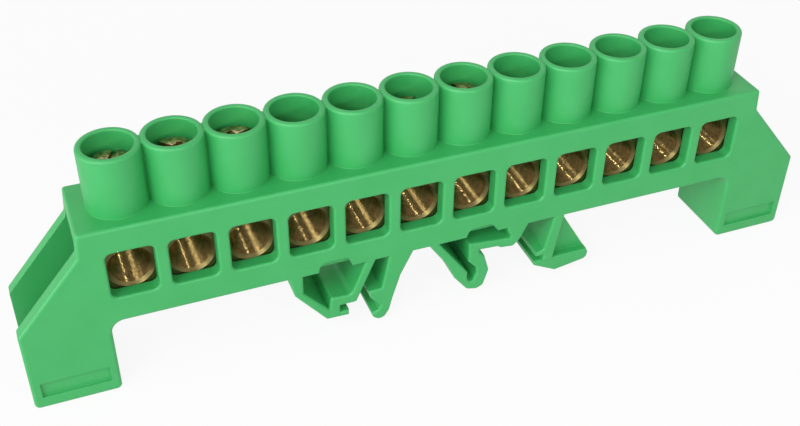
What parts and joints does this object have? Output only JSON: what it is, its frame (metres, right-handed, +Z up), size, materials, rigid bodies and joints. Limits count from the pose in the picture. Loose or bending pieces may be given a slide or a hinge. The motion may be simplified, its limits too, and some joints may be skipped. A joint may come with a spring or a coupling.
{
  "type": "earth terminal bar",
  "caption": "Brass earth bar with screw clamps over cross bores, in a green moulded housing with hollow fixing legs and a clip for a 35 mm rail.",
  "frame": {"origin": "middle of the box round the part, on the plane of the feet", "axes": "+X along the bar, the wires enter against +Y through the windows in the -Y side, +Z up from the feet"},
  "size_m": [0.1296, 0.0126, 0.0389],
  "materials": {
    "green_plastic": "satin moulded",
    "bar_brass": "dull, drilled and worn",
    "screw_metal": "yellow plated, dull"
  },
  "bodies": {
    "insulated_bar": {"housing": "green_plastic", "busbar": "bar_brass"},
    "clamp_screw_01": {"screw_01": "screw_metal"},
    "clamp_screw_02": {"screw_02": "screw_metal"},
    "clamp_screw_03": {"screw_03": "screw_metal"},
    "clamp_screw_04": {"screw_04": "screw_metal"},
    "clamp_screw_05": {"screw_05": "screw_metal"},
    "clamp_screw_06": {"screw_06": "screw_metal"},
    "clamp_screw_07": {"screw_07": "screw_metal"},
    "clamp_screw_08": {"screw_08": "screw_metal"},
    "clamp_screw_09": {"screw_09": "screw_metal"},
    "clamp_screw_10": {"screw_10": "screw_metal"},
    "clamp_screw_11": {"screw_11": "screw_metal"},
    "clamp_screw_12": {"screw_12": "screw_metal"}
  },
  "joints": [
    {"name": "screw_01_travel", "type": "slide", "parent": "insulated_bar", "child": "clamp_screw_01", "axis": [0, 0, 1], "range_m": [-0.0064, 0.0011]},
    {"name": "screw_02_travel", "type": "slide", "parent": "insulated_bar", "child": "clamp_screw_02", "axis": [0, 0, 1], "range_m": [-0.0065, 0.001]},
    {"name": "screw_03_travel", "type": "slide", "parent": "insulated_bar", "child": "clamp_screw_03", "axis": [0, 0, 1], "range_m": [-0.0064, 0.0011]},
    {"name": "screw_04_travel", "type": "slide", "parent": "insulated_bar", "child": "clamp_screw_04", "axis": [0, 0, 1], "range_m": [-0.005, 0.0025]},
    {"name": "screw_05_travel", "type": "slide", "parent": "insulated_bar", "child": "clamp_screw_05", "axis": [0, 0, 1], "range_m": [-0.00505, 0.00245]},
    {"name": "screw_06_travel", "type": "slide", "parent": "insulated_bar", "child": "clamp_screw_06", "axis": [0, 0, 1], "range_m": [-0.0058, 0.0017]},
    {"name": "screw_07_travel", "type": "slide", "parent": "insulated_bar", "child": "clamp_screw_07", "axis": [0, 0, 1], "range_m": [-0.0064, 0.0011]},
    {"name": "screw_08_travel", "type": "slide", "parent": "insulated_bar", "child": "clamp_screw_08", "axis": [0, 0, 1], "range_m": [-0.0052, 0.0023]},
    {"name": "screw_09_travel", "type": "slide", "parent": "insulated_bar", "child": "clamp_screw_09", "axis": [0, 0, 1], "range_m": [-0.00505, 0.00245]},
    {"name": "screw_10_travel", "type": "slide", "parent": "insulated_bar", "child": "clamp_screw_10", "axis": [0, 0, 1], "range_m": [-0.00525, 0.00225]},
    {"name": "screw_11_travel", "type": "slide", "parent": "insulated_bar", "child": "clamp_screw_11", "axis": [0, 0, 1], "range_m": [-0.0051, 0.0024]},
    {"name": "screw_12_travel", "type": "slide", "parent": "insulated_bar", "child": "clamp_screw_12", "axis": [0, 0, 1], "range_m": [-0.0052, 0.0023]}
  ]
}
